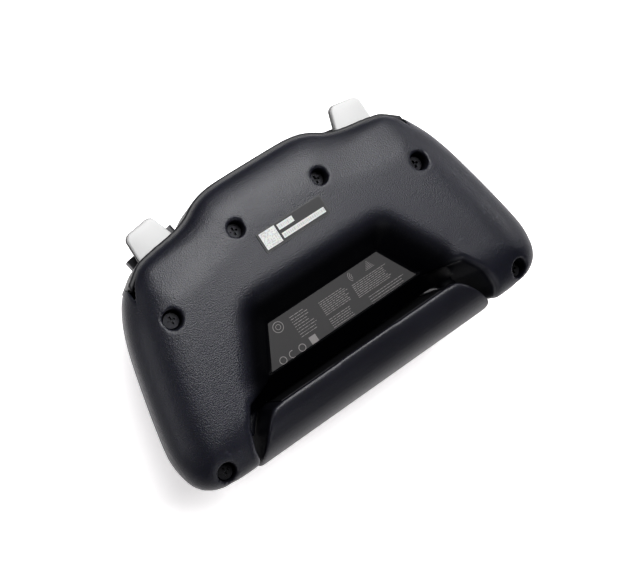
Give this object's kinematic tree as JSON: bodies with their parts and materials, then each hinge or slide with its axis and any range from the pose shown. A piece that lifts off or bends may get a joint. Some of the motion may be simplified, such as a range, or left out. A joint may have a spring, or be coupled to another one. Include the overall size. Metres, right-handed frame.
{
  "type": "radio transmitter controller",
  "caption": "Folding two-stick remote control with curved grips, white far-side tabs, and a flip-up phone cover with a sprung wrap-around jaw, lying face down.",
  "frame": {"origin": "centre of the footprint on the outer face of the folded phone cover, which it rests on", "axes": "+Z out of the underside, +X to the right grip seen from above, +Y to the far side with the tabs and ports"},
  "size_m": [0.152, 0.092, 0.071],
  "materials": {
    "shell": "satin moulded grain",
    "jaw": "smooth satin",
    "trim": "dark satin",
    "lever_white": "smooth white",
    "screw": "blackened steel",
    "pad": "matt soft rubber",
    "button": "satin",
    "board": "solder mask",
    "metal": "plain steel",
    "cell": "shrink sleeve",
    "light": "clear diffuser"
  },
  "bodies": {
    "casing": {"rear_shell": "shell", "face_shell": "shell", "far_bezel": "trim", "shell_screws": "screw", "usb_a_socket": "metal", "usb_c_socket": "metal", "main_board": "board", "buzzer": "trim", "antenna_left": "board", "antenna_right": "board", "battery_cell": "cell", "battery_cradle": "trim", "battery_contacts": "metal", "stick_trims": "trim", "stick_boards": "board", "button_board": "board", "button_switches": "trim", "light_pipe": "light", "shoulder_switches": "trim", "lever_axles": "metal", "lever_brackets": "trim", "lever_sensors": "trim", "hinge_pins": "metal", "stick_base_left": "trim", "stick_base_right": "trim"},
    "cover": {"cover_shell": "shell", "cover_liner": "trim", "phone_pads": "pad", "ledge_pad": "pad", "jaw_springs": "metal"},
    "jaw": {"jaw_beam": "jaw", "jaw_liner": "trim", "jaw_pad": "pad", "guide_rods": "metal"},
    "yoke_left": {"stick_yoke_left": "button"},
    "yoke_right": {"stick_yoke_right": "button"},
    "thumb_left": {"stick_left": "button", "stick_dome_left": "trim"},
    "thumb_right": {"stick_right": "button", "stick_dome_right": "trim"},
    "tab_left": {"lever_left": "lever_white"},
    "tab_right": {"lever_right": "lever_white"},
    "shoulder_left": {"shoulder_button_left": "button"},
    "shoulder_right": {"shoulder_button_right": "button"},
    "power": {"power_button": "button"},
    "home": {"home_button": "button"},
    "takeoff": {"takeoff_button": "button"}
  },
  "joints": [
    {"name": "cover_hinge", "type": "hinge", "parent": "casing", "child": "cover", "pos_m": [0, 0.0295, 0.012], "axis": [1, 0, 0], "range_deg": [0, 125]},
    {"name": "jaw_slide", "type": "slide", "parent": "cover", "child": "jaw", "axis": [0, -1, 0], "range_m": [0, 0.017], "stiffness_N_per_m": 150, "springref_m": -0.02},
    {"name": "stick_right_fore_aft", "type": "hinge", "parent": "casing", "child": "yoke_right", "pos_m": [0.038, 0, 0.034], "axis": [1, 0, 0], "range_deg": [-18, 18], "stiffness_Nm_per_rad": 0.03},
    {"name": "stick_right_sideways", "type": "hinge", "parent": "yoke_right", "child": "thumb_right", "pos_m": [0.038, 0, 0.034], "axis": [0, 1, 0], "range_deg": [-18, 18], "stiffness_Nm_per_rad": 0.03},
    {"name": "lever_right_rock", "type": "hinge", "parent": "casing", "child": "tab_right", "pos_m": [0.04033, 0.02909, 0.0595], "axis": [0.9877, -0.1564, 0], "range_deg": [-8, 8], "stiffness_Nm_per_rad": 0.06},
    {"name": "shoulder_right_press", "type": "slide", "parent": "casing", "child": "shoulder_right", "axis": [-0.1564, -0.9877, 0], "range_m": [0, 0.001], "stiffness_N_per_m": 800, "springref_m": -0.0003},
    {"name": "stick_left_fore_aft", "type": "hinge", "parent": "casing", "child": "yoke_left", "pos_m": [-0.038, 0, 0.034], "axis": [1, 0, 0], "range_deg": [-18, 18], "stiffness_Nm_per_rad": 0.03},
    {"name": "stick_left_sideways", "type": "hinge", "parent": "yoke_left", "child": "thumb_left", "pos_m": [-0.038, 0, 0.034], "axis": [0, 1, 0], "range_deg": [-18, 18], "stiffness_Nm_per_rad": 0.03},
    {"name": "lever_left_rock", "type": "hinge", "parent": "casing", "child": "tab_left", "pos_m": [-0.04033, 0.02909, 0.0595], "axis": [0.9877, 0.1564, 0], "range_deg": [-8, 8], "stiffness_Nm_per_rad": 0.06},
    {"name": "shoulder_left_press", "type": "slide", "parent": "casing", "child": "shoulder_left", "axis": [0.1564, -0.9877, 0], "range_m": [0, 0.001], "stiffness_N_per_m": 800, "springref_m": -0.0003},
    {"name": "power_press", "type": "slide", "parent": "casing", "child": "power", "axis": [0, 0, 1], "range_m": [0, 0.0007], "stiffness_N_per_m": 800, "springref_m": -0.0003},
    {"name": "home_press", "type": "slide", "parent": "casing", "child": "home", "axis": [0, 0, 1], "range_m": [0, 0.0007], "stiffness_N_per_m": 800, "springref_m": -0.0003},
    {"name": "takeoff_press", "type": "slide", "parent": "casing", "child": "takeoff", "axis": [0, 0, 1], "range_m": [0, 0.0007], "stiffness_N_per_m": 800, "springref_m": -0.0003}
  ]
}
